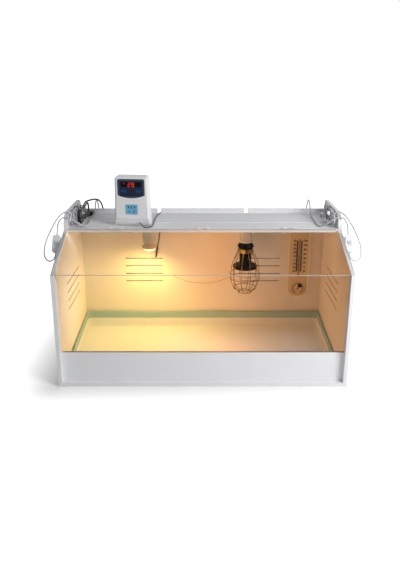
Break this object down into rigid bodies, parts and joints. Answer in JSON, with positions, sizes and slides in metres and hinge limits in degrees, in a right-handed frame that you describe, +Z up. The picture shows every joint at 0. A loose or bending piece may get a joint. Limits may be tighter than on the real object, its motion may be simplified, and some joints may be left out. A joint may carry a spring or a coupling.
{
  "type": "chick brooder box",
  "caption": "Board cabinet for raising chicks with a clear front pane, hinged clear lid, light, guarded heat emitter, wall thermometer and plug-in temperature controller.",
  "frame": {"origin": "on the floor at the middle of the cabinet's footprint", "axes": "+X to the right along the width, +Y from the front pane to the back board, +Z up"},
  "size_m": [0.894, 0.4569, 0.545],
  "materials": {
    "board": "white foamed board with a faint grain",
    "strip": "white extruded strip",
    "clear_sheet": "clear sheet with polished edges",
    "clear_hinge": "clear moulded hinge",
    "screw_steel": "zinc plated",
    "liner_cloth": "white pad with a blue-green border",
    "holder_ceramic": "white glaze",
    "bulb_glass": "frosted and lit",
    "emitter_ceramic": "black glaze",
    "cap_metal": "thread-rolled cap",
    "guard_brass": "brass plated wire",
    "thermometer_plate": "cream plate with printed scales",
    "tube_glass": "clear glass",
    "column_red": "red liquid",
    "dial_white": "printed dial",
    "dial_rim": "moulded rim",
    "needle_red": "painted",
    "controller_white": "satin moulded housing",
    "window_dark": "dark printed film",
    "display_black": "dark filter",
    "digits_red": "lit segments",
    "key_blue": "rubbery key",
    "socket_blue": "moulded socket plate",
    "circuit_green": "circuit board",
    "cord_black": "black sheath",
    "sensor_black": "moulded sensor",
    "plug_black": "moulded plug",
    "cord_white": "pale sheath",
    "plug_white": "moulded plug",
    "switch_white": "moulded switch body",
    "rocker_grey": "moulded rocker",
    "tie_black": "nylon tie"
  },
  "bodies": {
    "cabinet": {"base_panel": "board", "back_panel": "board", "left_side_panel": "board", "right_side_panel": "board", "top_front_board": "board", "top_rear_board": "board", "top_joint_strip": "strip", "kick_panel": "board", "front_pane": "clear_sheet", "board_screws": "screw_steel", "floor_liner": "liner_cloth", "hinge_fixed_leaves": "clear_hinge", "hinge_pins": "clear_hinge", "light_holder": "holder_ceramic", "light_bulb": "bulb_glass", "heat_holder": "holder_ceramic", "heat_emitter": "emitter_ceramic", "lamp_caps": "cap_metal", "holder_screws": "screw_steel", "guard_band": "guard_brass", "guard_ribs": "guard_brass", "guard_hoops": "guard_brass", "guard_clamp_screw": "screw_steel", "thermometer_plate": "thermometer_plate", "thermometer_tube": "tube_glass", "thermometer_column": "column_red", "hygrometer_face": "dial_white", "hygrometer_rim": "dial_rim", "controller_shell": "controller_white", "controller_cover": "controller_white", "controller_foot": "controller_white", "controller_window": "window_dark", "controller_display": "display_black", "controller_digits": "digits_red", "controller_socket": "socket_blue", "controller_board": "circuit_green", "sensor_lead": "cord_black", "sensor_tip": "sensor_black", "mains_lead": "cord_black", "mains_hank": "cord_black", "mains_plug": "plug_black", "light_lead": "cord_white", "light_switch": "switch_white", "light_tail": "cord_white", "light_hank": "cord_white", "light_plug": "plug_white", "heat_lead": "cord_white", "heat_switch": "switch_white", "heat_tail": "cord_white", "heat_hank": "cord_white", "heat_plug": "plug_white", "cord_ties": "tie_black"},
    "lid": {"lid_pane": "clear_sheet", "hinge_moving_leaves": "clear_hinge"},
    "needle": {"hygrometer_needle": "needle_red"},
    "key_left": {"controller_key_left": "key_blue"},
    "key_middle": {"controller_key_middle": "key_blue"},
    "key_right": {"controller_key_right": "key_blue"},
    "light_rocker": {"light_rocker": "rocker_grey"},
    "heat_rocker": {"heat_rocker": "rocker_grey"}
  },
  "joints": [
    {"name": "lid_hinge", "type": "hinge", "parent": "cabinet", "child": "lid", "pos_m": [0, -0.0128, 0.4033], "axis": [-1, 0, 0], "range_deg": [0, 100]},
    {"name": "needle_turn", "type": "hinge", "parent": "cabinet", "child": "needle", "pos_m": [0.315, 0.196, 0.147], "axis": [0, 1, 0], "range_deg": [-170, 100]},
    {"name": "key_left_press", "type": "slide", "parent": "cabinet", "child": "key_left", "axis": [0.1045, 0.9945, 0], "range_m": [0, 0.0006], "stiffness_N_per_m": 800},
    {"name": "key_middle_press", "type": "slide", "parent": "cabinet", "child": "key_middle", "axis": [0.1045, 0.9945, 0], "range_m": [0, 0.0006], "stiffness_N_per_m": 800},
    {"name": "key_right_press", "type": "slide", "parent": "cabinet", "child": "key_right", "axis": [0.1045, 0.9945, 0], "range_m": [0, 0.0006], "stiffness_N_per_m": 800},
    {"name": "light_rocker_tilt", "type": "hinge", "parent": "cabinet", "child": "light_rocker", "pos_m": [-0.413, -0.0618, 0.3701], "axis": [1, 0, 0], "range_deg": [-16, 0]},
    {"name": "heat_rocker_tilt", "type": "hinge", "parent": "cabinet", "child": "heat_rocker", "pos_m": [0.413, -0.0618, 0.3701], "axis": [1, 0, 0], "range_deg": [-16, 0]}
  ]
}
